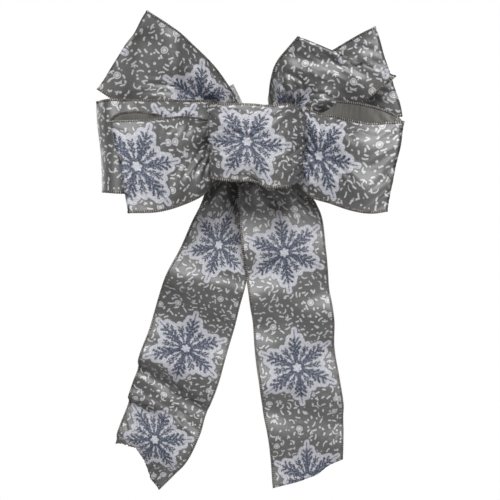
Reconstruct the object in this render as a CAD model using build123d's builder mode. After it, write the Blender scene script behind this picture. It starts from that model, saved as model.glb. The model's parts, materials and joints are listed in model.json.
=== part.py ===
"""Pre-made gift bow of wired ribbon: a centre loop, six loops, two tails and a twist tie.

The origin is the middle of the tie's back face, where the bow lies against a gift. +Z is up, the tails
hang down, and the front of the bow faces -Y. Every ribbon section is a strip of cloth with a stitched
selvedge along each side, and each selvedge holds an edge wire. Millimetres.
"""

from build123d import *
import os
from math import cos, radians, sin

os.makedirs("parts", exist_ok=True)

# Ribbon
RIBBON_WIDTH = 63.5
CLOTH = 0.6
SELVEDGE_RADIUS = 0.6
WIRE_HOLE_RADIUS = 0.3
WIRE_RADIUS = 0.25
CLOTH_GAP = 0.4
CLOTH_INSET = 2 * SELVEDGE_RADIUS + CLOTH_GAP

# Loops
NECK_HALF_THICKNESS = 1.6
FOLD_HALF_THICKNESS = 1.3
CORNER_RADIUS = 0.9
PANEL_RADIUS = 80
WIDEST_AT = 0.55

# Centre loop, which opens upwards and downwards
CENTRE_TOP = 24
CENTRE_BOTTOM = -35
CENTRE_NECK_HALF_HEIGHT = 3
CENTRE_NECK_HALF_WIDTH = 6
CENTRE_NECK_FRONT = -47
CENTRE_NECK_BACK = -38.6

# Waist and twist tie
WAIST_RADIUS = 4.3
WAIST_LENGTH = 36
WAIST_START = 1.5
PLEATS = 14
PLEAT_RADIUS = 0.5
TIE_WIDTH = 4
TIE_THICKNESS = 0.9
TIE_CORE_RADIUS = 0.25
TIE_BAND_DEPTH = 40.2
TIE_BAND_HEIGHT = 11.2
TIE_CORNER = 1.6
TIE_TWIST_LENGTH = 8
TIE_TWIST_TURN = 90
TIE_TWIST_STEPS = 4

# Tails
TAIL_NECK_HALF_WIDTH = 9
TAIL_NECK_START = 9
TAIL_FULL_WIDTH_AT = 42
TAIL_NECK_BEND = 18
TAIL_WAVE_BEND = 55


class Loop:
    """Where one loop lies: its neck at the waist and the two ends of the fold at its outer end."""

    def __init__(self, name, neck_depth, neck_angle, neck_reach, neck_half_height, upper, lower, belly, lean):
        along = Vector(cos(radians(neck_angle)), 0, sin(radians(neck_angle)))
        across = Vector(0, 1, 0).cross(along)
        if across.dot(upper - lower) < 0:
            across = -across
        neck = Vector(0, neck_depth, 0) + along * neck_reach
        self.name = name
        self.fold_ends = (upper, lower)
        self.neck_ends = (neck + across * neck_half_height, neck - across * neck_half_height)
        self.belly = belly
        self.lean = lean


# The front pair lies nearest the viewer, the rear pair nearest the gift.
LOOPS = [
    Loop("front_left", -36, 194, 10, 15, Vector(-98.3, -82, 5.8), Vector(-85.8, -82, -56.5), 13, 0.3),
    Loop("front_right", -36, -14, 10, 15, Vector(102.4, -82, 6.9), Vector(90.7, -82, -55.3), 15, 0.5),
    Loop("middle_left", -26, 182, 10, 13, Vector(-112.4, -68, 24.3), Vector(-107.2, -68, -39.6), 9, 0),
    Loop("middle_right", -23, 52, 12, 7, Vector(30.8, -68, 68.6), Vector(98.9, -74, 38.8), 11, 0),
    Loop("rear_left", -14, 148, 12, 8, Vector(-74.8, -70, 86.2), Vector(-114.2, -56, 34.6), 10, 0),
    Loop("rear_right", -12, 26, 12, 8, Vector(86.4, -62, 77.0), Vector(107.5, -57, 14.4), 8, 0),
]


class Tail:
    """Where one tail hangs: its lean from the vertical, its depth along its length, and its cut end."""

    def __init__(self, name, start, angle, waves, cut):
        down = Vector(sin(radians(angle)), 0, -cos(radians(angle)))
        self.name = name
        self.side = Plane(origin=start, x_dir=down, z_dir=down.cross(Vector(0, 1, 0)))
        self.face = Plane(origin=start, x_dir=down, z_dir=Vector(0, -1, 0))
        self.waves = waves
        self.cut = cut


# Each wave is (distance from the waist, depth). Each cut point is (distance from the waist, side).
LEFT_WAVES = [(9, -4), (42, -22), (85, -26), (130, -9), (176, -14), (222, -4), (294, -3)]
RIGHT_WAVES = [(9, -10), (42, -29), (85, -33), (134, -16), (180, -22), (226, -11), (282, -8)]
TAILS = [
    Tail("left_tail", Vector(0, 0, 0), -19.7, LEFT_WAVES, [(287, 31.75), (259, 4), (266, -31.75)]),
    Tail("right_tail", Vector(5, 0, 0), 8.7, RIGHT_WAVES, [(254, 31.75), (276, -31.75)]),
]

# Free ends of the twist tie: name, tilt from the vertical, depth, length
TIE_ENDS = [("tie_end_long", -26, -1.2, 42), ("tie_end_short", -36, -2.8, 37)]
TIE_END_HEIGHT = 14.8


def save(builder, name):
    """Labels one finished piece and writes it as a STEP file."""
    builder.part.label = name
    export_step(builder.part, f"parts/{name}.step")


def selvedge(path, name):
    """Makes the stitched selvedge along a path and the edge wire inside it."""
    start = Plane(origin=path @ 0, z_dir=path % 0)
    with BuildPart() as stitching:
        with BuildSketch(start):
            Circle(SELVEDGE_RADIUS)
            Circle(WIRE_HOLE_RADIUS, mode=Mode.SUBTRACT)
        sweep(path=path)
    save(stitching, f"{name}_stitching")
    with BuildPart() as wire:
        with BuildSketch(start):
            Circle(WIRE_RADIUS)
        sweep(path=path)
    save(wire, f"{name}_wire")


def loop_plane(loop, end, inset):
    """The plane of one selvedge of a loop: x runs from the neck to the fold, y from front to back."""
    along = loop.fold_ends[end] - loop.neck_ends[end]
    inward = loop.fold_ends[1 - end] - loop.fold_ends[end]
    inward -= along * (inward.dot(along) / along.dot(along))
    neck = loop.neck_ends[end] + inward.normalized() * inset
    return Plane(origin=neck, x_dir=along, z_dir=along.cross(Vector(0, 1, loop.lean))), along.length


def loop_points(length, belly, inset):
    """A loop's cross-section from the back of its neck round the fold to the front of its neck."""
    neck = NECK_HALF_THICKNESS - inset
    widest = belly / 2 - inset
    fold = FOLD_HALF_THICKNESS - inset
    middle = length * WIDEST_AT
    tip = length - inset
    back = [(inset, neck), (middle, widest), (tip, fold)]
    return back + [(x, -y) for x, y in reversed(back)]


def make_loop(loop):
    """Makes one loop: two panels of cloth from the waist to a creased fold, and its two selvedges."""
    with BuildPart() as cloth:
        for inset, mode in ((0, Mode.ADD), (CLOTH, Mode.SUBTRACT)):
            corner = CORNER_RADIUS - inset
            radii = [corner, PANEL_RADIUS, corner, corner, PANEL_RADIUS, corner]
            for end in (0, 1):
                plane, length = loop_plane(loop, end, CLOTH_INSET)
                with BuildSketch(plane):
                    with BuildLine():
                        FilletPolyline(loop_points(length, loop.belly, inset), radius=radii, close=True)
                    make_face()
            loft(ruled=True, mode=mode)
    save(cloth, f"{loop.name}_ribbon")
    for end, side in enumerate(("upper", "lower")):
        plane, length = loop_plane(loop, end, SELVEDGE_RADIUS)
        with BuildLine(plane) as path:
            corner = FOLD_HALF_THICKNESS - CLOTH / 2 - 0.05
            radii = [PANEL_RADIUS, corner, corner, PANEL_RADIUS]
            FilletPolyline(loop_points(length, loop.belly, CLOTH / 2), radius=radii)
        selvedge(path.wire(), f"{loop.name}_{side}")


def make_tail(tail):
    """Makes one tail: a waving strip gathered at the waist and cut at its end, and its two selvedges."""
    half = RIBBON_WIDTH / 2 - CLOTH_INSET
    bends = [TAIL_NECK_BEND] + [TAIL_WAVE_BEND] * (len(tail.waves) - 3)
    front = [(s, y) for s, y in tail.waves]
    back = [(s, y + CLOTH) for s, y in tail.waves]
    gather = [(TAIL_NECK_START, TAIL_NECK_HALF_WIDTH), (TAIL_FULL_WIDTH_AT, half)]
    with BuildPart() as cloth:
        with BuildSketch(tail.side):
            with BuildLine():
                FilletPolyline(front, radius=bends)
                FilletPolyline(back, radius=bends)
                Line(front[0], back[0])
                Line(front[-1], back[-1])
            make_face()
        extrude(amount=half, both=True)
        with BuildSketch(tail.face):
            with BuildLine():
                sides = [(s, max(-half, min(half, w))) for s, w in tail.cut]
                outline = gather + sides + [(s, -w) for s, w in reversed(gather)]
                radii = [0, TAIL_NECK_BEND] + [0] * len(sides) + [TAIL_NECK_BEND, 0]
                FilletPolyline(outline, radius=radii, close=True)
            make_face()
        extrude(amount=-2 * RIBBON_WIDTH, both=True, mode=Mode.INTERSECT)
    save(cloth, f"{tail.name}_ribbon")
    for sign, side in ((1, "right"), (-1, "left")):
        edge = RIBBON_WIDTH / 2 - SELVEDGE_RADIUS
        end = tail.cut[0][0] if sign > 0 else tail.cut[-1][0]
        neck, *waves = tail.waves
        line = [(neck[0], neck[1], TAIL_NECK_HALF_WIDTH + CLOTH_INSET)]
        line += [(s, y, edge) for s, y in waves if s < end - TAIL_NECK_BEND]
        line += [(end, interpolate(tail.waves, end), edge)]
        points = [tail.side.from_local_coords((s, y + CLOTH / 2, sign * w)) for s, y, w in line]
        with BuildLine() as path:
            FilletPolyline(points, radius=bends[: len(points) - 2])
        selvedge(path.wire(), f"{tail.name}_{side}")


def interpolate(waves, distance):
    """The depth of a tail's last straight stretch at a distance from the waist."""
    (s0, y0), (s1, y1) = waves[-2:]
    return y0 + (y1 - y0) * (distance - s0) / (s1 - s0)


def centre_outline(inset):
    """The centre loop seen from above, from its neck round the front and back to its neck."""
    neck = CENTRE_NECK_HALF_WIDTH - inset
    left = [(-neck, CENTRE_NECK_FRONT), (-33.6 + inset, -61), (-27 + inset, -71 + inset)]
    right = [(28 - inset, -72 + inset), (36.6 - inset, -62), (neck, CENTRE_NECK_FRONT)]
    return left + [(0, -74 + inset)] + right


def make_centre_loop():
    """Makes the centre loop with its gathered neck at the waist, and its two selvedges."""
    radii = [3, 5, 12, 60, 12, 5, 3]
    back = [(CENTRE_NECK_HALF_WIDTH, CENTRE_NECK_BACK), (-CENTRE_NECK_HALF_WIDTH, CENTRE_NECK_BACK)]
    bottom, top = CENTRE_BOTTOM + CLOTH_INSET, CENTRE_TOP - CLOTH_INSET
    with BuildPart() as cloth:
        with BuildSketch(Plane.XY.offset(bottom)):
            with BuildLine():
                FilletPolyline(centre_outline(0) + back, radius=radii + [1, 1], close=True)
            make_face()
            offset(amount=-CLOTH, mode=Mode.SUBTRACT)
        extrude(amount=top - bottom)
        for level, height in ((CENTRE_NECK_HALF_HEIGHT, top), (bottom, -CENTRE_NECK_HALF_HEIGHT)):
            with BuildSketch(Plane.XY.offset(level)):
                with Locations((0, CENTRE_NECK_FRONT)):
                    Rectangle(60, 20, align=(Align.CENTER, Align.MIN))
            extrude(amount=height - level, mode=Mode.SUBTRACT)
    save(cloth, "centre_loop_ribbon")
    for level, side in ((CENTRE_TOP - SELVEDGE_RADIUS, "upper"), (CENTRE_BOTTOM + SELVEDGE_RADIUS, "lower")):
        with BuildLine(Plane.XY.offset(level)) as path:
            FilletPolyline(centre_outline(CLOTH / 2), radius=radii[1:-1])
        selvedge(path.wire(), f"centre_loop_{side}")


def make_waist():
    """Makes the pleated bundle of ribbon inside the tie, along the depth of the bow."""
    with BuildPart() as waist:
        with BuildSketch(Plane.XZ.offset(WAIST_START)):
            Circle(WAIST_RADIUS)
            with PolarLocations(WAIST_RADIUS, PLEATS):
                Circle(PLEAT_RADIUS, mode=Mode.SUBTRACT)
        extrude(amount=WAIST_LENGTH)
    save(waist, "gathered_waist")


def make_tie_band():
    """Makes the band of the twist tie round the waist, its core wire and its twist."""
    middle = Plane.YZ.offset(0).shift_origin((0, -TIE_BAND_DEPTH / 2, 0))
    with BuildPart() as core:
        with BuildLine(middle) as path:
            width, height = TIE_BAND_DEPTH - TIE_THICKNESS, TIE_BAND_HEIGHT - TIE_THICKNESS
            corners = [(-width / 2, 0), (-width / 2, height / 2), (width / 2, height / 2)]
            corners += [(-x, -y) for x, y in corners]
            corners = [p for p in corners if p[1]]
            FilletPolyline(corners, radius=TIE_CORNER - TIE_THICKNESS / 2, close=True)
        with BuildSketch(Plane(origin=path.wire() @ 0, z_dir=path.wire() % 0)):
            Circle(TIE_CORE_RADIUS)
        sweep(path=path.wire())
    save(core, "tie_band_core_wire")
    with BuildPart() as band:
        with BuildSketch(middle):
            RectangleRounded(TIE_BAND_DEPTH, TIE_BAND_HEIGHT, TIE_CORNER)
            offset(amount=-TIE_THICKNESS, mode=Mode.SUBTRACT)
        extrude(amount=TIE_WIDTH / 2, both=True)
        add(core.part, mode=Mode.SUBTRACT)
    save(band, "tie_band")
    with BuildPart() as twist:
        for step in range(TIE_TWIST_STEPS + 1):
            share = step / TIE_TWIST_STEPS
            level = TIE_BAND_HEIGHT / 2 + TIE_TWIST_LENGTH * share
            with BuildSketch(Plane((0, -2.2, level))):
                Rectangle(TIE_WIDTH, 2 * TIE_THICKNESS, rotation=TIE_TWIST_TURN * share)
        loft(ruled=True)
    save(twist, "tie_twist")


def make_tie_end(name, tilt, depth, length):
    """Makes one free end of the twist tie: a flat strip with a core wire in it."""
    up = Vector(sin(radians(tilt)), 0, cos(radians(tilt)))
    flat = Plane(origin=(0, depth, TIE_END_HEIGHT), x_dir=up.cross(Vector(0, 1, 0)), z_dir=up)
    with BuildPart() as core:
        with BuildSketch(flat):
            Circle(TIE_CORE_RADIUS)
        extrude(amount=length)
    save(core, f"{name}_core_wire")
    with BuildPart() as strip:
        with BuildSketch(flat):
            RectangleRounded(TIE_WIDTH, TIE_THICKNESS, 0.3)
            Circle(TIE_CORE_RADIUS, mode=Mode.SUBTRACT)
        extrude(amount=length)
    save(strip, f"{name}_strip")


for each in LOOPS:
    make_loop(each)
for each in TAILS:
    make_tail(each)
make_centre_loop()
make_waist()
make_tie_band()
for each in TIE_ENDS:
    make_tie_end(*each)
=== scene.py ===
"""Looks of the pre-made gift bow: printed wired ribbon in loops and tails, its selvedges, and the twist tie.

Ribbon sections are grids of points in millimetres in the CAD frame, relaxed as cloth of fixed flat size, then
written as thin closed sheets in metres. The front of the bow faces -Y and the tails hang towards -Z.
"""

import json
import math

import bpy
import numpy as np
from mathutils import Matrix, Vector


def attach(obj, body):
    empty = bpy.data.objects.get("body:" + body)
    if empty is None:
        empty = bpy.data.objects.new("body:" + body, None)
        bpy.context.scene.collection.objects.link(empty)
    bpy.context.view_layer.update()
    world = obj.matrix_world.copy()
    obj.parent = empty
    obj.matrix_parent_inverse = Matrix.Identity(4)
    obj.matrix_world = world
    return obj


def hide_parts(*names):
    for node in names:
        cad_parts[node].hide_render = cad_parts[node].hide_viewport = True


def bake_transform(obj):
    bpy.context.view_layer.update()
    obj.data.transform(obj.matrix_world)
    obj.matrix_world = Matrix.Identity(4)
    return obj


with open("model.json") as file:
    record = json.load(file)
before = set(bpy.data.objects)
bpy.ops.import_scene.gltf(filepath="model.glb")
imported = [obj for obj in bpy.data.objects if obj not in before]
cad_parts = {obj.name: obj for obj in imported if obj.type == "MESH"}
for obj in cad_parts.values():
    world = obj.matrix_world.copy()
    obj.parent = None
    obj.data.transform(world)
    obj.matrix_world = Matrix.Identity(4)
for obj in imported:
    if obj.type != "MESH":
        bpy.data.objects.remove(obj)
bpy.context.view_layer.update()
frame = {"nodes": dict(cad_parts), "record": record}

MM = 0.001

# Ribbon, in millimetres
WIDTH = 63.5
THICKNESS = 0.35
COLUMNS = 49
ROW_STEP = 2.4
TAIL_STEPS = 600
WAIST_HALF_HEIGHT = 4.2

# Folds across the width: tight pleats at the waist and soft folds where a panel opens, with the soft folds'
# share of their full depth. A tail's folds fade out between these distances from the waist, in millimetres.
PLEAT_FOLDS = 12
SOFT_FOLDS = 4
PANEL_SOFTNESS = 0.8
CENTRE_SOFTNESS = 0.25
CENTRE_CROWN = 3.0
TAIL_FOLDS_END = (40, 75)

# Overlocked selvedge, in millimetres: its thread's turns, and how it swells between its thin and thick places
SELVEDGE_HALF_WIDTH = 0.95
SELVEDGE_HALF_THICKNESS = 0.6
SELVEDGE_OVERLAP = 0.45
STITCH_PITCH = 1.6
STITCH_RINGS = 4
STITCH_SIDES = 8
STITCH_SLANT = 0.5
STITCH_THIN, STITCH_SWELL = 0.72, 0.42

# Unevenness of the handled cloth: wavelengths in millimetres, and the steepest slope of each wave
CRUMPLE_WAVELENGTHS = (58, 44, 35, 27, 21)
CRUMPLE_SLOPE = 0.085
LOOP_CRUMPLE = 0.8
CENTRE_CRUMPLE = 0.3

# Relaxing: rounds, springs as (rows apart, columns apart, strength), and how hard a round pulls points to
# their places on the cloth, along its edges and near the waist, where the pull fades over these millimetres
RELAX_ROUNDS = 250
SPRINGS = ((1, 0, 1.0), (0, 1, 1.0), (1, 1, 0.6), (1, -1, 0.6), (2, 0, 0.12), (0, 2, 0.08))
HOLD_LOOP, HOLD_LOOP_EDGE = 0.03, 0.08
HOLD_CENTRE_EDGE = 0.1
HOLD_TAIL, HOLD_TAIL_EDGE = 0.10, 0.15
HOLD_WAIST = 0.5
HOLD_FADE = (5, 16)
EDGE_COLUMNS = [0, 1, -2, -1]

# Print, in millimetres
PRINT_REPEAT = 97.0
FLAKE_RADIUS = 34.0
UV_UNIT = 100.0

# Bend pivots, in millimetres: how far from the waist a loop's pivot starts and how long it is, and the
# heights of the tails' pivots. The pivots are only passed on; nothing is made to bend.
BEND_START = 2
BEND_LENGTH = 12
TAIL_BEND = (-7, -20)

# Camera and stage, in metres
CAMERA_PLACE = (-0.003, -0.5, -0.082)
CAMERA_LENS = 44.0
FLOOR_HEIGHT = -1.6
FLOOR_SIZE = 1.6
WORLD_LIGHT = 0.12

# Lights: name, place, aim, size in metres, power in watts
LIGHTS = (
    ("key", (-0.05, -1.3, 0.7), (0, 0, -0.08), (0.8, 0.6), 23),
    ("front", (-0.4, -1.5, -0.3), (0, 0, -0.05), (1.0, 1.0), 2.5),
    ("fill", (0.7, -1.1, -0.5), (0, 0, -0.08), (0.7, 0.9), 3),
    ("left", (-1.2, 0.8, 0.2), (0, 0, -0.08), (0.8, 0.8), 6),
    ("right", (1.2, 0.8, 0.2), (0, 0, -0.08), (0.8, 0.8), 6),
    ("back", (0.1, 1.3, 0.4), (0, 0, -0.08), (1.2, 1.0), 14),
)


# ---------------------------------------------------------------- curves and grids


def spline(points, count):
    """Points evenly spaced along a smooth curve through the given ones, and the curve's length."""
    points = np.array(points, float)
    chord = np.concatenate([[0], np.cumsum(np.linalg.norm(np.diff(points, axis=0), axis=1))])
    slopes = np.gradient(points, chord, axis=0)
    fine = np.linspace(0, chord[-1], 40 * len(points))
    k = np.clip(np.searchsorted(chord, fine, side="right") - 1, 0, len(points) - 2)
    h = (chord[k + 1] - chord[k])[:, None]
    t = ((fine - chord[k])[:, None]) / h
    curve = (
        (2 * t**3 - 3 * t**2 + 1) * points[k]
        + (t**3 - 2 * t**2 + t) * h * slopes[k]
        + (3 * t**2 - 2 * t**3) * points[k + 1]
        + (t**3 - t**2) * h * slopes[k + 1]
    )
    travel = np.concatenate([[0], np.cumsum(np.linalg.norm(np.diff(curve, axis=0), axis=1))])
    return resample(curve, travel, np.linspace(0, travel[-1], count)), travel[-1]


def resample(curve, travel, wanted):
    """Points of a polyline at the wanted distances along it."""
    return np.stack([np.interp(wanted, travel, curve[:, k]) for k in range(3)], axis=1)


def smooth(x, low, high):
    """0 up to low and 1 from high on, with a soft step between."""
    t = np.clip((x - low) / (high - low), 0, 1)
    return t * t * (3 - 2 * t)


class Strip:
    """A grid of ribbon: points[row, column], with each point's flat distance along and across the ribbon."""

    def __init__(self, points, along, across, crease=None):
        self.points = points
        self.along = along
        self.across = across
        self.crease = crease
        self.hold = np.zeros(points.shape[:2])

    def normals(self):
        """The cloth's unit normal at each point."""
        du = np.gradient(self.points, axis=0)
        dv = np.gradient(self.points, axis=1)
        n = np.cross(du, dv)
        return n / np.maximum(np.linalg.norm(n, axis=2, keepdims=True), 1e-9)


def gather(ratio, share, soft):
    """Depth of the folds that take up the slack where the edges stand closer than the cloth is wide."""
    slack = np.sqrt(1 - np.clip(ratio, 0.05, 1) ** 2)[:, None]
    tight = 1 - smooth(ratio, 0.45, 0.75)[:, None]
    phase = share * PLEAT_FOLDS
    zigzag = 2 * np.abs(2 * (phase / 2 - np.floor(phase / 2 + 0.5))) - 1
    waves = np.cos(np.pi * share * SOFT_FOLDS)
    pleats = WIDTH / PLEAT_FOLDS / 2 * slack * tight * zigzag[None]
    return pleats + soft * WIDTH / SOFT_FOLDS / 2 * slack * (1 - tight) * waves[None]


def panel(lower, upper, rows, depth_sign, crown=0.0, soft=PANEL_SOFTNESS):
    """One panel of a loop from its lower and upper edges, gathered into pleats where they come together."""
    low, low_length = spline(lower, rows)
    high, high_length = spline(upper, rows)
    share = np.linspace(0, 1, COLUMNS)
    points = low[:, None] * (1 - share[None, :, None]) + high[:, None] * share[None, :, None]
    along = np.linspace(0, 1, rows)[:, None] * (low_length * (1 - share) + high_length * share)[None]
    chord = np.linalg.norm(high - low, axis=1)
    points[..., 1] += gather(chord / WIDTH, share, soft)
    swell = np.sin(np.pi * share)[None] * np.sin(np.pi * np.linspace(0, 1, rows))[:, None]
    points[..., 1] += depth_sign * crown * swell
    return points, along


def loop_strip(spec):
    """The whole ribbon of one loop: front panel from the waist to the fold, then back panel to the waist."""
    length = spline(spec["front_lower"], 9)[1]
    rows = int(length / ROW_STEP) + 1
    front, front_along = panel(spec["front_lower"], spec["front_upper"], rows, -1, spec["crown"])
    back, back_along = panel(spec["back_lower"], spec["back_upper"], rows, 1, spec["crown"])
    points = np.concatenate([front, back[::-1][1:]])
    turn = front_along[-1] + back_along[-1]
    along = np.concatenate([front_along, (turn[None] - back_along[::-1])[1:]])
    strip = Strip(points, along, np.linspace(-WIDTH / 2, WIDTH / 2, COLUMNS), crease=rows - 1)
    hold_loop(strip, HOLD_LOOP_EDGE)
    strip.hold[rows - 1] = HOLD_WAIST
    return strip


def hold_loop(strip, edge_hold):
    """Sets how hard a loop's points are held: least on the cloth, more on its edges, most at the waist."""
    rows = len(strip.points)
    strip.hold[:] = HOLD_LOOP
    strip.hold[:, EDGE_COLUMNS] = edge_hold
    reach = np.minimum(np.arange(rows), np.arange(rows)[::-1]) * ROW_STEP
    strip.hold = np.maximum(strip.hold, HOLD_WAIST * (1 - smooth(reach, *HOLD_FADE))[:, None])


def add_ridges(strip, ridges, outward, crumple=1.0):
    """Raises soft ridges or sinks valleys along lines in the flat ribbon, each (from, to, height, spread)."""
    x, y = strip.along, np.broadcast_to(strip.across, strip.along.shape)
    push = np.zeros(x.shape)
    for (x0, y0), (x1, y1), height, spread in ridges:
        run, rise = x1 - x0, y1 - y0
        share = np.clip(((x - x0) * run + (y - y0) * rise) / (run * run + rise * rise), 0, 1)
        off = np.hypot(x - x0 - share * run, y - y0 - share * rise)
        push += height * np.exp(-((off / spread) ** 2))
    chance = np.random.default_rng(len(ridges) + rows_seed(strip))
    for wavelength in CRUMPLE_WAVELENGTHS:
        angle, phase = chance.uniform(0, np.pi), chance.uniform(0, 2 * np.pi)
        wave = (x * np.cos(angle) + y * np.sin(angle)) * 2 * np.pi / wavelength + phase
        push += crumple * CRUMPLE_SLOPE * wavelength / (2 * np.pi) * np.sin(wave)
    strip.points += strip.normals() * (outward * push)[..., None]


def rows_seed(strip):
    """A seed of its own for each section, from its number of rows."""
    return len(strip.points) * 7


def relax(strip, rounds):
    """Moves the grid's points until the cloth keeps its flat lengths, and pulls held points back."""
    p = strip.points
    target = p.copy()
    rows, columns = p.shape[:2]
    flat = np.stack([strip.along, np.broadcast_to(strip.across, p.shape[:2])], axis=2)
    springs = []
    for step_i, step_j, strength in SPRINGS:
        span = 2 * (step_i or step_j)
        for start in range(span):
            i, j = np.arange(rows - step_i), np.arange(columns - abs(step_j))
            if step_i:
                i = i[i % span == start]
            else:
                j = j[j % span == start]
            if step_i == 2 and strip.crease is not None:
                i = i[i + 1 != strip.crease]
            if not len(i):
                continue
            a = np.ix_(i, j + max(-step_j, 0))
            b = np.ix_(i + step_i, j + max(step_j, 0))
            springs.append((a, b, np.linalg.norm(flat[b] - flat[a], axis=2), strength))

    hold = strip.hold[..., None]
    for _ in range(rounds):
        for a, b, rest, strength in springs:
            d = p[b] - p[a]
            size = np.maximum(np.linalg.norm(d, axis=2), 1e-6)
            move = d * (0.5 * strength * (size - rest) / size)[..., None]
            p[a] += move
            p[b] -= move
        p += hold * (target - p)


# ---------------------------------------------------------------- meshes


def mesh_object(name, vertices, faces, materials, face_slots=None, uvs=None):
    """A smooth-shaded mesh object in metres from vertices in millimetres."""
    mesh = bpy.data.meshes.new(name)
    mesh.from_pydata((np.asarray(vertices) * MM).tolist(), [], faces)
    for material in materials:
        mesh.materials.append(material)
    if face_slots is not None:
        mesh.polygons.foreach_set("material_index", face_slots)
    if uvs is not None:
        layer = mesh.uv_layers.new(name="ribbon")
        loops = np.zeros(len(mesh.loops), np.int64)
        mesh.loops.foreach_get("vertex_index", loops)
        layer.data.foreach_set("uv", np.asarray(uvs, np.float32)[loops].ravel())
    mesh.polygons.foreach_set("use_smooth", [True] * len(mesh.polygons))
    mesh.validate()
    mesh.update()
    obj = bpy.data.objects.new(name, mesh)
    bpy.context.scene.collection.objects.link(obj)
    return obj


def grid_faces(rows, columns, start=0, flip=False):
    """Faces of a grid of vertices numbered row by row from start."""
    index = np.arange(rows * columns).reshape(rows, columns) + start
    quads = np.stack([index[:-1, :-1], index[1:, :-1], index[1:, 1:], index[:-1, 1:]], axis=2).reshape(-1, 4)
    return (quads[:, ::-1] if flip else quads).tolist()


def sheet_object(name, strip, phase, outward, materials):
    """A thin closed sheet: its printed face on the outward side, its plain face on the other, and its rim."""
    rows, columns = strip.points.shape[:2]
    normal = strip.normals() * outward
    outer = strip.points + normal * THICKNESS / 2
    inner = strip.points - normal * THICKNESS / 2
    vertices = np.concatenate([outer.reshape(-1, 3), inner.reshape(-1, 3)])
    count = rows * columns
    faces = grid_faces(rows, columns, 0, outward < 0) + grid_faces(rows, columns, count, outward > 0)
    slots = [0] * (len(faces) // 2) + [1] * (len(faces) // 2)
    index = np.arange(count).reshape(rows, columns)
    rim = [index[:, 0], index[-1, :], index[::-1, -1], index[0, ::-1]]
    for edge in rim:
        for a, b in zip(edge[:-1], edge[1:]):
            quad = [int(a), int(b), int(b) + count, int(a) + count]
            faces.append(quad if outward < 0 else quad[::-1])
            slots.append(1)
    uv = np.stack([strip.along + phase, np.broadcast_to(strip.across, (rows, columns))], axis=2) / UV_UNIT
    uv = uv.reshape(-1, 2)
    return mesh_object(name, vertices, faces, materials, slots, np.concatenate([uv, uv]))


def selvedge_object(name, path, inward, normal, material):
    """The overlocked edge: thread wound slantwise round the edge wire, flattened onto the ribbon."""
    travel = np.concatenate([[0], np.cumsum(np.linalg.norm(np.diff(path, axis=0), axis=1))])
    rings = max(int(travel[-1] / STITCH_PITCH * STITCH_RINGS), 8)
    wanted = np.linspace(0, travel[-1], rings)
    path, inward, normal = (resample(x, travel, wanted) for x in (path, inward, normal))
    angle = np.linspace(0, 2 * np.pi, STITCH_SIDES, endpoint=False)
    wave = np.pi * wanted[:, None] / STITCH_PITCH + STITCH_SLANT * angle[None]
    swell = STITCH_THIN + STITCH_SWELL * np.abs(np.sin(wave))
    side = (np.cos(angle)[None] * SELVEDGE_HALF_WIDTH * swell)[..., None]
    lift = (np.sin(angle)[None] * SELVEDGE_HALF_THICKNESS * swell)[..., None]
    centre = path + inward * SELVEDGE_HALF_WIDTH * SELVEDGE_OVERLAP
    points = centre[:, None] + inward[:, None] * side + normal[:, None] * lift
    index = np.arange(rings * STITCH_SIDES).reshape(rings, STITCH_SIDES)
    faces = []
    for i in range(rings - 1):
        for k in range(STITCH_SIDES):
            n = (k + 1) % STITCH_SIDES
            faces.append([int(index[i, k]), int(index[i, n]), int(index[i + 1, n]), int(index[i + 1, k])])
    faces.append(index[0].tolist()[::-1])
    faces.append(index[-1].tolist())
    around = angle[None] * SELVEDGE_HALF_THICKNESS
    uv = np.stack(np.broadcast_arrays(wanted[:, None], around), axis=2).reshape(-1, 2) / UV_UNIT
    return mesh_object(name, points.reshape(-1, 3), faces, [material], uvs=uv)


def unit(v):
    """Vectors of length 1."""
    return v / np.maximum(np.linalg.norm(v, axis=-1, keepdims=True), 1e-9)


def selvedges(strip, name, sides, material):
    """Both selvedges of a strip. Column 0 is its lower or left edge."""
    normal = strip.normals()
    made = []
    for column, beside, side in ((-1, -3, sides[0]), (0, 2, sides[1])):
        path = strip.points[:, column]
        inward = unit(strip.points[:, beside] - path)
        n = unit(normal[:, column] - inward * np.sum(normal[:, column] * inward, axis=1, keepdims=True))
        made.append(selvedge_object(f"{name}_{side}_selvedge", path, inward, n, material))
    return made


# ---------------------------------------------------------------- materials


class Node:
    """A number or vector inside a material's node tree, so that formulas read as formulas."""

    def __init__(self, tree, socket):
        self.tree = tree
        self.socket = socket

    def put(self, node, slot, value):
        if isinstance(value, Node):
            self.tree.links.new(value.socket, node.inputs[slot])
        else:
            node.inputs[slot].default_value = value

    def math(self, operation, *others):
        node = self.tree.nodes.new("ShaderNodeMath")
        node.operation = operation
        for slot, value in enumerate((self, *others)):
            self.put(node, slot, value)
        return Node(self.tree, node.outputs[0])

    def __add__(self, other):
        return self.math("ADD", other)

    def __sub__(self, other):
        return self.math("SUBTRACT", other)

    def __mul__(self, other):
        return self.math("MULTIPLY", other)

    def __truediv__(self, other):
        return self.math("DIVIDE", other)

    def abs(self):
        return self.math("ABSOLUTE")

    def least(self, other):
        return self.math("MINIMUM", other)

    def most(self, other):
        return self.math("MAXIMUM", other)

    def inside(self, blur):
        """1 where this distance is below zero, 0 where it is above, over a soft edge of this half width."""
        node = self.tree.nodes.new("ShaderNodeMapRange")
        self.put(node, 0, self)
        node.inputs["From Min"].default_value = blur
        node.inputs["From Max"].default_value = -blur
        return Node(self.tree, node.outputs[0])

    def ramp(self, low, high, start=0.0, end=1.0):
        """This value mapped from low..high to start..end, and kept within it."""
        node = self.tree.nodes.new("ShaderNodeMapRange")
        self.put(node, 0, self)
        for slot, value in (("From Min", low), ("From Max", high), ("To Min", start), ("To Max", end)):
            node.inputs[slot].default_value = value
        return Node(self.tree, node.outputs[0])


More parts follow.
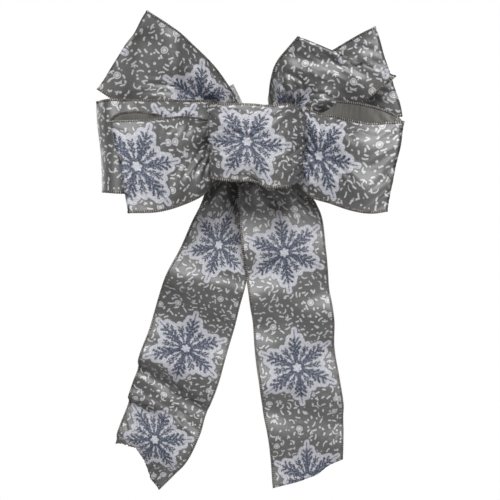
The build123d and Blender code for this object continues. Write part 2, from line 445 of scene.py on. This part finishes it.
class Paint:
    """A material's node tree with its shader, and the steps that its patterns share."""

    def __init__(self, name, roughness, **constants):
        self.material = bpy.data.materials.new(name)
        self.material.use_nodes = True
        self.tree = self.material.node_tree
        self.shader = self.tree.nodes["Principled BSDF"]
        self.shader.inputs["Roughness"].default_value = roughness
        for slot, value in constants.items():
            self.shader.inputs[slot.replace("_", " ")].default_value = value

    def new(self, kind, **settings):
        node = self.tree.nodes.new("ShaderNode" + kind)
        for key, value in settings.items():
            setattr(node, key, value)
        return node

    def wrap(self, socket):
        return Node(self.tree, socket)

    def link(self, value, node, slot):
        self.tree.links.new(value.socket if isinstance(value, Node) else value, node.inputs[slot])

    def ribbon_place(self):
        """Distance along and across the flat ribbon, in millimetres."""
        uv = self.new("UVMap", uv_map="ribbon")
        split = self.new("SeparateXYZ")
        self.tree.links.new(uv.outputs[0], split.inputs[0])
        return self.wrap(split.outputs[0]) * UV_UNIT, self.wrap(split.outputs[1]) * UV_UNIT

    def join(self, x, y, z=None):
        node = self.new("CombineXYZ")
        self.link(x, node, 0)
        self.link(y, node, 1)
        if z is not None:
            self.link(z, node, 2)
        return self.wrap(node.outputs[0])

    def noise(self, place, scale, detail=2.0, roughness=0.5):
        node = self.new("TexNoise")
        self.link(place, node, "Vector")
        node.inputs["Scale"].default_value = scale
        node.inputs["Detail"].default_value = detail
        node.inputs["Roughness"].default_value = roughness
        return self.wrap(node.outputs["Fac"])

    def mix(self, share, first, second):
        """Colour between two colours. Each is a tuple or a node."""
        node = self.new("Mix", data_type="RGBA")
        if isinstance(share, Node):
            self.link(share, node, 0)
        else:
            node.inputs[0].default_value = share
        for slot, colour in ((6, first), (7, second)):
            if isinstance(colour, Node):
                self.link(colour, node, slot)
            else:
                node.inputs[slot].default_value = (*colour, 1)
        return self.wrap(node.outputs[2])

    def bump(self, height, strength, distance):
        node = self.new("Bump")
        node.inputs["Strength"].default_value = strength
        node.inputs["Distance"].default_value = distance
        self.link(height, node, "Height")
        self.tree.links.new(node.outputs[0], self.shader.inputs["Normal"])


def stroke(x, y, a, b, radius):
    """Distance from a point to a rounded stroke between two points of the print."""
    run, rise = b[0] - a[0], b[1] - a[1]
    size = run * run + rise * rise
    dx, dy = x - a[0], y - a[1]
    share = ((dx * run) + (dy * rise)) * (1 / size)
    share = share.most(0.0).least(1.0)
    ex, ey = dx - share * run, dy - share * rise
    return ((ex * ex) + (ey * ey)).math("SQRT") - radius


# A snowflake's leaves as shares of its radius: start, end, half width. The mirror half follows by folding.
BIG_ARM = [
    ((0.12, 0.0), (0.72, 0.0), 0.030),
    ((0.10, 0.0), (0.34, 0.0), 0.055),
    ((0.22, 0.0), (0.36, 0.080), 0.028),
    ((0.34, 0.0), (0.49, 0.115), 0.034),
    ((0.46, 0.0), (0.61, 0.125), 0.032),
    ((0.60, 0.0), (0.72, 0.100), 0.025),
]
SMALL_ARM = [
    ((0.12, 0.0), (0.46, 0.0), 0.024),
    ((0.25, 0.0), (0.36, 0.050), 0.020),
    ((0.38, 0.0), (0.47, 0.055), 0.022),
    ((0.47, 0.0), (0.54, 0.048), 0.018),
]
BIG_TIP = ((0.74, 0.0), (0.93, 0.0), 0.070)
BIG_TIP_CORE = ((0.76, 0.0), (0.92, 0.0), 0.016)
SMALL_TIP = ((0.52, 0.0), (0.62, 0.0), 0.060)
OUTLINE = 0.085
HUB = 0.17


def snowflake(along, across):
    """Distances, in shares of the radius, to a snowflake's navy leaves, white edging, tip cores and star."""
    turned = (along / PRINT_REPEAT).math("FRACT") - 0.5
    x, y = turned * (PRINT_REPEAT / FLAKE_RADIUS), across * (1 / FLAKE_RADIUS)
    radius = ((x * x) + (y * y)).math("SQRT")
    sixth = math.pi / 3
    angle = y.math("ARCTAN2", x)
    folded = (((angle / sixth) + 0.5).math("FLOORED_MODULO", 1.0) - 0.5).abs() * sixth
    big = (radius * folded.math("COSINE"), radius * folded.math("SINE"))
    turn = (folded * -1) + sixth / 2
    small = (radius * turn.math("COSINE"), radius * turn.math("SINE"))
    navy = radius - HUB
    for leaves, (u, v) in ((BIG_ARM, big), (SMALL_ARM, small)):
        for a, b, half_width in leaves:
            navy = navy.least(stroke(u, v, a, b, half_width))
    edging = (navy - OUTLINE).least(stroke(*big, *BIG_TIP)).least(stroke(*small, *SMALL_TIP))
    core = stroke(*big, *BIG_TIP_CORE)
    star = radius - (folded.ramp(0, sixth / 2, 0.115, 0.075))
    return navy, edging, core, star


# Small marks, in millimetres: a line's bend, reach and half width, the cross's bar, the ring and the dot
LINE_BEND = 0.22
LINE_REACH = (0.5, 2.3)
LINE_HALF_WIDTH = (0.72, 0.48)
BAR_MIDDLE, BAR_REACH, BAR_HALF_WIDTH = 0.6, 0.9, 0.45
RING_RADIUS, RING_HALF_WIDTH, RING_CORE = 2.2, 0.42, 1.4
DOT_RADIUS = (0.45, 1.0)
MARK_BLUR = 0.22

# Two layers of marks: cell in millimetres, seed, shapes
MARKS = (5.9, 0.0, ((0, "line"), (0.66, "cross"), (0.76, "dot"), (0.93, "ring")))
EXTRA_MARKS = (7.4, 4.3, ((0, "dot"), (0.6, "line")))

# Weave pitches in millimetres, along and across the ribbon
RIB_PITCH = 0.55
THREAD_PITCH = 0.4

# Colours of the print, from dark to light where there are two, and its sheen's roughness: plain, then printed
GROUND = ((0.050, 0.050, 0.049), (0.072, 0.072, 0.070))
GROUND_GRAIN = (0.160, 0.160, 0.156)
MARK_GREY = (0.56, 0.56, 0.58)
WHITE = ((0.28, 0.28, 0.31), (0.56, 0.56, 0.61))
NAVY = ((0.003, 0.005, 0.018), (0.12, 0.165, 0.27))
NAVY_FLECK = (0.42, 0.46, 0.54)
CORE_GREY = (0.10, 0.11, 0.15)
SATIN_ROUGHNESS, PRINT_ROUGHNESS = 0.42, 0.75


def confetti(paint, along, across, cell, seed, shapes):
    """Distance in millimetres to the print's small light marks, one to a cell of the given size.

    Each of the shapes is (share of the cells below it, name), from the most common on.
    """
    place = paint.join(along * (1 / cell) + seed, across * (1 / cell))
    cells = paint.new("TexVoronoi", voronoi_dimensions="2D", feature="F1")
    paint.link(place, cells, "Vector")
    cells.inputs["Scale"].default_value = 1.0
    cells.inputs["Randomness"].default_value = 0.7
    offset = paint.new("VectorMath", operation="SUBTRACT")
    paint.link(place, offset, 0)
    paint.tree.links.new(cells.outputs["Position"], offset.inputs[1])
    split = paint.new("SeparateXYZ")
    paint.tree.links.new(offset.outputs[0], split.inputs[0])
    x, y = paint.wrap(split.outputs[0]) * cell, paint.wrap(split.outputs[1]) * cell
    chance = paint.new("SeparateColor")
    paint.tree.links.new(cells.outputs["Color"], chance.inputs[0])
    kind, spin, bend = (paint.wrap(chance.outputs[k]) for k in range(3))
    turn = spin * (2 * math.pi)
    cosine, sine = turn.math("COSINE"), turn.math("SINE")
    u, v = (x * cosine) + (y * sine), (y * cosine) - (x * sine)
    curved = v - (u * u) * bend.ramp(0, 1, -LINE_BEND, LINE_BEND)
    out = (u.abs() - bend.ramp(0, 1, *LINE_REACH)).most(0.0)
    line = ((out * out) + (curved * curved)).math("SQRT") - bend.ramp(0, 1, *LINE_HALF_WIDTH)
    over = ((v - BAR_MIDDLE).abs() - BAR_REACH).most(0.0)
    bar = ((over * over) + (u * u)).math("SQRT") - BAR_HALF_WIDTH
    centre = ((x * x) + (y * y)).math("SQRT")
    ring = ((centre - RING_RADIUS).abs() - RING_HALF_WIDTH).least(centre - RING_CORE)
    dot = centre - spin.ramp(0, 1, *DOT_RADIUS)
    made = {"line": line, "cross": line.least(bar), "ring": ring, "dot": dot}
    mark = made[shapes[0][1]]
    for low, name in shapes[1:]:
        pick = kind.math("GREATER_THAN", low)
        mark = (mark * ((pick * -1) + 1)) + (made[name] * pick)
    return mark


def weave(along, across):
    """Height of the cloth's fine crosswise ribs."""
    ribs = (along * (2 * math.pi / RIB_PITCH)).math("SINE")
    threads = (across * (2 * math.pi / THREAD_PITCH)).math("SINE")
    return (ribs * 0.6) + (threads * 0.4)


def printed_cloth():
    """Grey satin with glittering navy snowflakes, edged in white, and small white marks."""
    paint = Paint("ribbon_print", 0.48, Specular_IOR_Level=1.0, IOR=1.55)
    along, across = paint.ribbon_place()
    place = paint.join(along, across)
    navy, edging, core, star = snowflake(along, across)
    grain = paint.noise(place, 1.0, 3.0, 0.7)
    clouds = paint.noise(place, 0.035, 2.0)
    ground = paint.mix(clouds.ramp(0.3, 0.7), *GROUND)
    ground = paint.mix(grain.ramp(0.4, 0.65, 0.0, 0.55), ground, GROUND_GRAIN)
    marks = confetti(paint, along, across, *MARKS).inside(MARK_BLUR)
    extras = confetti(paint, along, across, *EXTRA_MARKS).inside(MARK_BLUR)
    clear = (edging - 0.03).ramp(-0.01, 0.01)
    marks = marks.most(extras) * clear
    white = paint.mix(grain.ramp(0.35, 0.6), *WHITE)
    colour = paint.mix(marks * 0.85, ground, MARK_GREY)
    colour = paint.mix(edging.inside(0.008), colour, white)
    specks = paint.noise(place, 0.75, 3.0, 0.85)
    leaves = paint.mix(specks.ramp(0.48, 0.62), *NAVY)
    leaves = paint.mix(grain.ramp(0.61, 0.67), leaves, NAVY_FLECK)
    colour = paint.mix((navy + (specks - 0.5) * 0.13).inside(0.012), colour, leaves)
    colour = paint.mix(core.inside(0.008) * specks.ramp(0.40, 0.50), colour, CORE_GREY)
    colour = paint.mix(star.inside(0.012), colour, white)
    paint.link(colour, paint.shader, "Base Color")
    glitter = paint.noise(place, 2.6, 1.0, 0.5).ramp(0.66, 0.70) * edging.inside(0.01)
    matt = edging.inside(0.02).ramp(0, 1, SATIN_ROUGHNESS, PRINT_ROUGHNESS)
    paint.link(matt - glitter * 0.55, paint.shader, "Roughness")
    paint.bump(weave(along, across) + grain * 0.8, 0.35, 0.00008)
    return paint.material


def plain_cloth():
    """The ribbon's unprinted side: ribbed grey satin."""
    paint = Paint("ribbon_back", 0.5, Sheen_Weight=0.1, Sheen_Roughness=0.4)
    along, across = paint.ribbon_place()
    place = paint.join(along, across)
    clouds = paint.noise(place, 0.05, 3.0)
    ribs = paint.noise(paint.join(along, across * 0.06), 0.9, 2.0)
    colour = paint.mix(clouds.ramp(0.3, 0.7), (0.085, 0.083, 0.075), (0.120, 0.118, 0.108))
    colour = paint.mix(ribs.ramp(0.35, 0.65, 0, 0.6), colour, (0.165, 0.162, 0.150))
    paint.link(colour, paint.shader, "Base Color")
    paint.bump(weave(along, across) + ribs * 1.5, 0.4, 0.0001)
    return paint.material


def selvedge_thread():
    """Metallic thread wound over the edge, with painted shade in the grooves between its turns, a painted
    highlight on their crests, and dark flecks of its own.
    """
    paint = Paint("selvedge_thread", 0.35, Metallic=0.35)
    along, across = paint.ribbon_place()
    turns = (along * (math.pi / STITCH_PITCH)) + (across * (STITCH_SLANT / SELVEDGE_HALF_THICKNESS))
    wave = turns.math("SINE").abs()
    place = paint.join(along, across)
    fleck = paint.noise(place, 0.8, 2.0)
    # Painted shade and highlight: the colour darkens where the thread's geometry thins between turns and
    # lightens on the crests; the flecks below are the thread's own tone
    colour = paint.mix(wave.ramp(0.45, 0.95), (0.022, 0.019, 0.016), (0.36, 0.33, 0.31))
    colour = paint.mix(fleck.ramp(0.45, 0.6, 0, 0.8), colour, (0.045, 0.037, 0.030))
    paint.link(colour, paint.shader, "Base Color")
    return paint.material


def tie_plastic():
    """Silvery clear plastic of the twist tie."""
    paint = Paint("tie_plastic", 0.5, Metallic=0.1, Coat_Weight=0.1)
    place = paint.new("TexCoord")
    streaks = paint.noise(paint.wrap(place.outputs["Object"]), 600, 2.0)
    colour = paint.mix(streaks.ramp(0.35, 0.65), (0.06, 0.065, 0.06), (0.34, 0.35, 0.36))
    paint.link(colour, paint.shader, "Base Color")
    paint.bump(streaks, 0.2, 0.0002)
    return paint.material


def wire_metal():
    """Dull annealed steel wire."""
    paint = Paint("edge_wire", 0.4, Metallic=0.9)
    place = paint.new("TexCoord")
    scratches = paint.noise(paint.wrap(place.outputs["Object"]), 900, 2.0)
    colour = paint.mix(scratches, (0.30, 0.30, 0.31), (0.55, 0.55, 0.56))
    paint.link(colour, paint.shader, "Base Color")
    return paint.material


# ---------------------------------------------------------------- the bow's sections


def waist_point(depth, side):
    """Where a ribbon's upper (1) or lower (-1) edge meets the waist."""
    return (0.0, depth, WAIST_HALF_HEIGHT * side)


def loop(name, depth, front_upper, front_lower, back_upper, back_lower, fold, crown=2.5):
    """A loop's edges, each from the waist to its end of the fold. fold is (upper corner, lower corner)."""
    return {
        "name": name,
        "depth": depth,
        "crown": crown,
        "front_upper": [waist_point(depth - 1.2, 1), *front_upper, fold[0]],
        "front_lower": [waist_point(depth - 1.2, -1), *front_lower, fold[1]],
        "back_upper": [waist_point(depth + 1.2, 1), *back_upper, fold[0]],
        "back_lower": [waist_point(depth + 1.2, -1), *back_lower, fold[1]],
    }


LOOPS = [
    loop(
        "front_left", -36,
        [(-14, -41, 9), (-34, -50, 15), (-48, -60, 14), (-61, -69, 11.5), (-78, -78, 8)],
        [(-14, -41, -16), (-31, -48, -32), (-38, -55, -42), (-51, -65, -50), (-69, -77, -56)],
        [(-16, -38, 8), (-36, -43, 13), (-58, -50, 15), (-76, -60, 16.5), (-88, -68, 17), (-96, -76, 13)],
        [(-16, -38, -15), (-36, -43, -30), (-58, -51, -43), (-74, -65, -51)],
        ((-98.5, -82, 6), (-86, -82, -56.5)),
    ),
    loop(
        "front_right", -36,
        [(14, -41, 13), (32, -48, 23), (46, -58, 18), (61, -68, 12), (79, -78, 6)],
        [(16, -41, -20), (34, -48, -36), (42, -54, -44), (54, -62, -48), (68, -72, -54), (81, -79, -57)],
        [(16, -38, 15), (41, -46, 25), (56, -53, 27), (70, -63, 24), (85, -73, 18), (95, -79, 13)],
        [(16, -38, -12), (36, -43, -28), (56, -50, -37), (72, -64, -43), (84, -76, -49)],
        ((102.5, -82, 6), (91, -82, -55.5)),
    ),
    loop(
        "middle_left", -26,
        [(-14, -29, 18), (-30, -36, 30), (-55, -48, 29), (-82, -61, 26), (-103, -69, 24)],
        [(-14, -29, -12), (-30, -36, -24), (-55, -48, -34), (-82, -61, -41), (-99, -68.5, -42)],
        [(-14, -26, 17), (-30, -30, 28), (-55, -40, 28), (-82, -51, 26), (-100, -57, 24)],
        [(-14, -26, -12), (-30, -30, -24), (-55, -40, -33), (-82, -51, -40), (-98, -57, -41)],
        ((-114, -61, 24.5), (-107.7, -61, -40)),
        crown=1.0,
    ),
    loop(
        "middle_right", -23,
        [(5, -26, 17), (11, -30, 31), (12, -41, 43), (16, -52, 55), (24, -61, 63)],
        [(14, -26, 0), (28, -30, 6), (56, -46, 15), (81, -62, 26), (91, -69, 33)],
        [(8, -23, 17), (17, -27, 32), (21, -36, 45), (24, -47, 56), (28, -59, 64)],
        [(14, -23, 1), (30, -26, 8), (56, -37, 18), (80, -53, 29), (91, -65, 35)],
        ((31, -68, 69), (99, -74, 39)),
        crown=5.0,
    ),
    loop(
        "rear_left", -14,
        [(-6, -16, 20), (-13, -20, 35), (-21, -30, 47), (-33, -41, 60), (-47, -52, 71), (-58, -60, 78)],
        [(-20, -18, 0), (-42, -25, 7), (-78, -40, 19), (-105, -52, 29)],
        [(-5, -14, 20), (-12, -15, 34), (-22, -21, 47), (-36, -32, 59), (-50, -44, 70), (-62, -56, 78)],
        [(-20, -14, 2), (-44, -19, 9), (-78, -32, 21), (-104, -47, 30)],
        ((-75, -70, 86), (-114, -56, 35)),
    ),
    loop(
        "rear_right", -12,
        [(10, -15, 20), (21, -20, 36), (42, -37, 58), (63, -49, 69), (78, -57, 75)],
        [(24, -18, 4), (51, -28, 12), (87, -46, 15)],
        [(10, -12, 20), (22, -15, 35), (43, -28, 57), (64, -41, 68), (78, -52, 75)],
        [(24, -13, 4), (51, -20, 12), (85, -37, 16), (100, -48, 16)],
        ((87, -62, 78), (107.5, -57, 15)),
        crown=1.5,
    ),
]

# Distance in millimetres from the waist, along each section, to the centre of a snowflake of its print
FLAKES = {
    "front_left": 102,
    "front_right": 63,
    "middle_left": 73,
    "middle_right": 35,
    "rear_left": 61,
    "rear_right": 58,
    "centre_loop": 81.5,
}


def phase_of(name):
    """How far the print is shifted along a section, so that a snowflake falls where FLAKES says."""
    return PRINT_REPEAT / 2 - FLAKES[name]


def finish_section(strip, name, body, sides, outward, pivot):
    """Writes a section's sheet and selvedges, and attaches them to their body, or leaves them fixed in place
    when given a pivot.
    """
    ribbon = sheet_object(f"{name}_cloth", strip, phase_of(name), outward, [PRINT, PLAIN])
    edges = selvedges(strip, name, sides, THREAD)
    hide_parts(f"{name}_ribbon")
    for edge, side in zip(edges, sides):
        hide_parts(f"{name}_{side}_stitching", f"{name}_{side}_wire")
    for piece in (ribbon, *edges):
        if pivot is None:
            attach(piece, body)
        else:
            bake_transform(piece)
    return ribbon


def settle(strip):
    relax(strip, RELAX_ROUNDS)


def make_loops():
    """The six loops, each left fixed in place; the pivot near the waist about which it would bend is only
    passed on.
    """
    for spec in LOOPS:
        strip = loop_strip(spec)
        name = spec["name"]
        middle = np.array(spec["front_upper"][-1]) + np.array(spec["front_lower"][-1])
        outward = 1 if middle[0] > 0 else -1
        add_ridges(strip, RIDGES[name], outward, LOOP_CRUMPLE)
        settle(strip)
        reach = unit(np.array([middle[0], 0, middle[2]]))
        start = np.array([0, spec["depth"], 0]) + reach * BEND_START
        end = start + reach * BEND_LENGTH
        pivot = (tuple(start * MM), tuple(end * MM))
        finish_section(strip, name, f"{name}_loop", ("upper", "lower"), outward,
                       pivot)


# Soft folds of each section in its flat ribbon: (along, across) at both ends, height, spread
RIDGES = {
    "front_left": [
        ((20, 18), (60, 24), 2, 5), ((15, -5), (55, -2), 2, 5), ((18, -20), (60, -26), 2.5, 5),
        ((70, 10), (112, 4), -1.5, 9),
    ],
    "front_right": [
        ((15, 12), (50, 20), 2, 5), ((15, -10), (48, -14), 2, 5), ((60, 0), (100, -10), 1.5, 10),
    ],
    "middle_left": [((15, 0), (110, 8), 2, 10), ((100, -28), (104, 28), 1.5, 5)],
    "middle_right": [
        ((15, 10), (70, 22), 2.5, 5), ((15, -8), (75, -12), 2, 6), ((75, 24), (105, -10), -2, 6),
    ],
    "rear_left": [
        ((104, 26), (76, -14), 5, 6), ((120, 12), (98, -26), -4, 8), ((15, 10), (60, 16), 2, 5),
        ((15, -8), (60, -14), 2, 5),
    ],
    "rear_right": [((20, 8), (85, 14), 2, 6), ((20, -12), (80, -16), 2, 6)],
    "centre_loop": [
        ((76, -4), (56, -30), 2.6, 3), ((90, -4), (112, -30), 2.6, 3), ((82, -8), (76, -31), 2.4, 2.6),
        ((86, -10), (94, -31), 2.4, 2.6), ((70, 12), (48, 30), 2, 3.5), ((95, 12), (118, 30), 2, 3.5),
    ],
    "left_tail": [],
    "right_tail": [],
}

# The centre loop's edges from the waist round the front of the knot and back
CENTRE_UPPER = [
    (0, -38, 4.2), (-10, -42, 14), (-24, -50, 21), (-33.5, -58, 23), (-31, -67, 22), (-16, -73, 20),
    (0, -75, 19.5), (10, -75, 18.5), (22, -72.5, 20.5), (32, -67, 18.5), (37, -60, 13), (30, -52, 14),
    (12, -43, 12), (0, -38, 4.2),
]
CENTRE_LOWER = [
    (0, -38, -4.2), (-10, -43, -14), (-24, -52, -25), (-32, -59, -29), (-29, -66, -31), (-17, -72, -33.5),
    (0, -75, -34), (10, -75, -39), (20, -72.5, -38), (30, -66, -34), (34, -59, -29), (26, -51, -24),
    (11, -43, -14), (0, -38, -4.2),
]


def make_centre_loop():
    """The centre loop, which wraps the knot and moves with it."""
    length = spline(CENTRE_UPPER, 9)[1]
    rows = int(length / ROW_STEP) + 1
    points, along = panel(CENTRE_LOWER, CENTRE_UPPER, rows, -1, CENTRE_CROWN, CENTRE_SOFTNESS)
    strip = Strip(points, along, np.linspace(-WIDTH / 2, WIDTH / 2, COLUMNS))
    hold_loop(strip, HOLD_CENTRE_EDGE)
    add_ridges(strip, RIDGES["centre_loop"], 1, CENTRE_CRUMPLE)
    settle(strip)
    finish_section(strip, "centre_loop", "knot", ("upper", "lower"), 1, None)


# Tails: the two edges from the waist down, the cut as (share across from the left, height), and the height of
# the first snowflake's centre
TAILS = {
    "left_tail": {
        "left": [
            (-5, -4, -6), (-19, -13, -14), (-32, -21, -24), (-41, -25, -47), (-50, -20, -65),
            (-58, -26, -84), (-66, -31, -99), (-73, -20, -114), (-79.5, -10, -132), (-83, -12, -145),
            (-89, -22, -163), (-95, -4, -181), (-98.5, -17, -195), (-101.5, -2, -206),
            (-107.5, -15, -226), (-112, -1, -240), (-120, -6, -262),
        ],
        "right": [
            (5, -4, -6), (13, -8, -14), (14, -8, -28), (7, -7, -48), (-2, -9, -75), (-4, -17, -96),
            (-8.5, -26, -115), (-11.5, -22, -126), (-16.5, -7, -147), (-21.5, -5, -163),
            (-26.5, -18, -182), (-31.5, -15, -197), (-38, -1, -213), (-44, -13, -231),
            (-53.5, -13, -250), (-65, -4, -264), (-78, -3, -277), (-88, -3, -288),
        ],
        "cut": [(0.0, -240), (0.31, -241), (0.37, -244), (0.6, -257.5), (0.78, -268.5), (1.0, -276)],
        "flake": -78,
    },
    "right_tail": {
        "left": [
            (0, -10, -6), (-8, -22, -17), (-11, -33, -31), (-11, -28, -52), (-9, -31, -80),
            (-5, -23, -106), (-3, -27, -122), (0, -15, -143), (1.5, -17, -164), (5, -22, -190),
            (8, -10, -212), (12, -14, -232), (14.5, -7, -254), (16, -10, -274), (18, -10, -290),
        ],
        "right": [
            (10, -10, -6), (26, -22, -17), (38, -31, -31), (51, -28, -54), (55, -32, -84),
            (59, -22, -115), (62, -25, -134), (64, -13, -160), (67, -16, -182), (70, -20, -202),
            (71.5, -8, -223), (71, -12, -240), (71, -7, -256), (70, -8, -275),
        ],
        "cut": [(0.0, -273), (0.39, -268), (0.63, -263), (0.8, -256), (1.0, -250)],
        "flake": -84,
    },
}


def make_tail(name, spec):
    """A tail: a strip between its two edges, trimmed at its cut end."""
    left, left_length = spline(spec["left"], TAIL_STEPS)
    right, right_length = spline(spec["right"], TAIL_STEPS)
    reach = min(left_length, right_length)
    steps = np.linspace(0, reach, TAIL_STEPS)
    left = resample(left, np.linspace(0, left_length, TAIL_STEPS), steps)
    right = resample(right, np.linspace(0, right_length, TAIL_STEPS), steps)
    share = np.linspace(0, 1, COLUMNS)
    cut_share, cut_height = np.array(spec["cut"]).T
    ends = np.zeros(COLUMNS)
    for k, height in enumerate(np.interp(share, cut_share, cut_height)):
        column = left[:, 2] * (1 - share[k]) + right[:, 2] * share[k]
        ends[k] = np.interp(-height, -column, steps)
    rows = int(ends.max() / ROW_STEP) + 1
    along = np.linspace(0, 1, rows)[:, None] * ends[None]
    points = np.zeros((rows, COLUMNS, 3))
    for k in range(COLUMNS):
        a = resample(left, steps, along[:, k])
        b = resample(right, steps, along[:, k])
        points[:, k] = a * (1 - share[k]) + b * share[k]
    chord = np.linalg.norm(points[:, -1] - points[:, 0], axis=1)
    folds = gather(chord / WIDTH, share, PANEL_SOFTNESS)
    points[..., 1] += folds * (1 - smooth(along[:, :1], *TAIL_FOLDS_END))
    strip = Strip(points, along, np.linspace(-WIDTH / 2, WIDTH / 2, COLUMNS))
    strip.hold[:] = HOLD_TAIL
    strip.hold[:, EDGE_COLUMNS] = HOLD_TAIL_EDGE
    strip.hold[:3] = HOLD_WAIST
    add_ridges(strip, RIDGES[name], 1)
    settle(strip)
    centre = strip.points[:, COLUMNS // 2]
    FLAKES[name] = float(np.interp(-spec["flake"], -centre[:, 2], along[:, COLUMNS // 2]))
    depth = spec["left"][0][1]
    pivot = ((0, depth * MM, TAIL_BEND[0] * MM), (0, depth * MM, TAIL_BEND[1] * MM))
    finish_section(strip, name, name, ("right", "left"), 1, pivot)


def dress_cad_nodes():
    """Materials for the CAD pieces that stay in view."""
    looks = {"tie_plastic": tie_plastic(), "edge_wire": wire_metal()}
    looks["tie_core_wire"] = looks["edge_wire"]
    looks["ribbon"] = PLAIN
    slots = {s["node"]: s["material_slot"] for s in frame["record"]["subparts"]}
    for name, obj in frame["nodes"].items():
        material = looks.get(slots.get(name))
        if material is None:
            continue
        for slot in obj.material_slots:
            slot.link = "OBJECT"
            slot.material = material


# ---------------------------------------------------------------- stage, light and camera


def area_light(name, place, aim, size, power):
    """A rectangular lamp at a place, turned to its aim."""
    data = bpy.data.lights.new(name, "AREA")
    data.shape = "RECTANGLE"
    data.size, data.size_y = size
    data.energy = power
    obj = bpy.data.objects.new(name, data)
    obj.location = place
    obj.rotation_euler = (Vector(aim) - Vector(place)).to_track_quat("-Z", "Y").to_euler()
    bpy.context.scene.collection.objects.link(obj)


def make_stage():
    """A pale floor far below, a white surround for the camera, and the studio's lights."""
    paint = Paint("floor", 0.9, Emission_Color=(1, 1, 1, 1), Emission_Strength=0.45)
    place = paint.new("TexCoord")
    grain = paint.noise(paint.wrap(place.outputs["Object"]), 30, 2.0)
    paint.link(paint.mix(grain, (0.84, 0.84, 0.84), (0.88, 0.88, 0.88)), paint.shader, "Base Color")
    half = FLOOR_SIZE / 2
    corners = [(-half, -half), (half, -half), (half, half), (-half, half)]
    mesh = bpy.data.meshes.new("floor")
    mesh.from_pydata([(x, y, FLOOR_HEIGHT) for x, y in corners], [], [(0, 1, 2, 3)])
    mesh.materials.append(paint.material)
    floor = bpy.data.objects.new("floor", mesh)
    bpy.context.scene.collection.objects.link(floor)

    world = bpy.data.worlds.new("studio")
    bpy.context.scene.world = world
    world.use_nodes = True
    tree = world.node_tree
    background = tree.nodes["Background"]
    background.inputs[0].default_value = (1, 1, 1, 1)
    background.inputs[1].default_value = WORLD_LIGHT
    white = tree.nodes.new("ShaderNodeBackground")
    white.inputs[0].default_value = (1, 1, 1, 1)
    white.inputs[1].default_value = 1.0
    rays = tree.nodes.new("ShaderNodeLightPath")
    either = tree.nodes.new("ShaderNodeMixShader")
    tree.links.new(rays.outputs["Is Camera Ray"], either.inputs[0])
    tree.links.new(background.outputs[0], either.inputs[1])
    tree.links.new(white.outputs[0], either.inputs[2])
    tree.links.new(either.outputs[0], tree.nodes["World Output"].inputs[0])

    for light in LIGHTS:
        area_light(*light)


def make_camera():
    """A level camera at the photograph's viewing angle."""
    data = bpy.data.cameras.new("camera")
    data.lens = CAMERA_LENS
    data.sensor_width = 36
    data.clip_start = 0.01
    camera = bpy.data.objects.new("camera", data)
    camera.location = CAMERA_PLACE
    camera.rotation_euler = (math.pi / 2, 0, 0)
    bpy.context.scene.collection.objects.link(camera)
    bpy.context.scene.camera = camera
    bpy.context.scene.view_settings.view_transform = "Standard"


PRINT = printed_cloth()
PLAIN = plain_cloth()
THREAD = selvedge_thread()
make_loops()
make_centre_loop()
for tail_name, tail_spec in TAILS.items():
    make_tail(tail_name, tail_spec)
dress_cad_nodes()
make_stage()
make_camera()
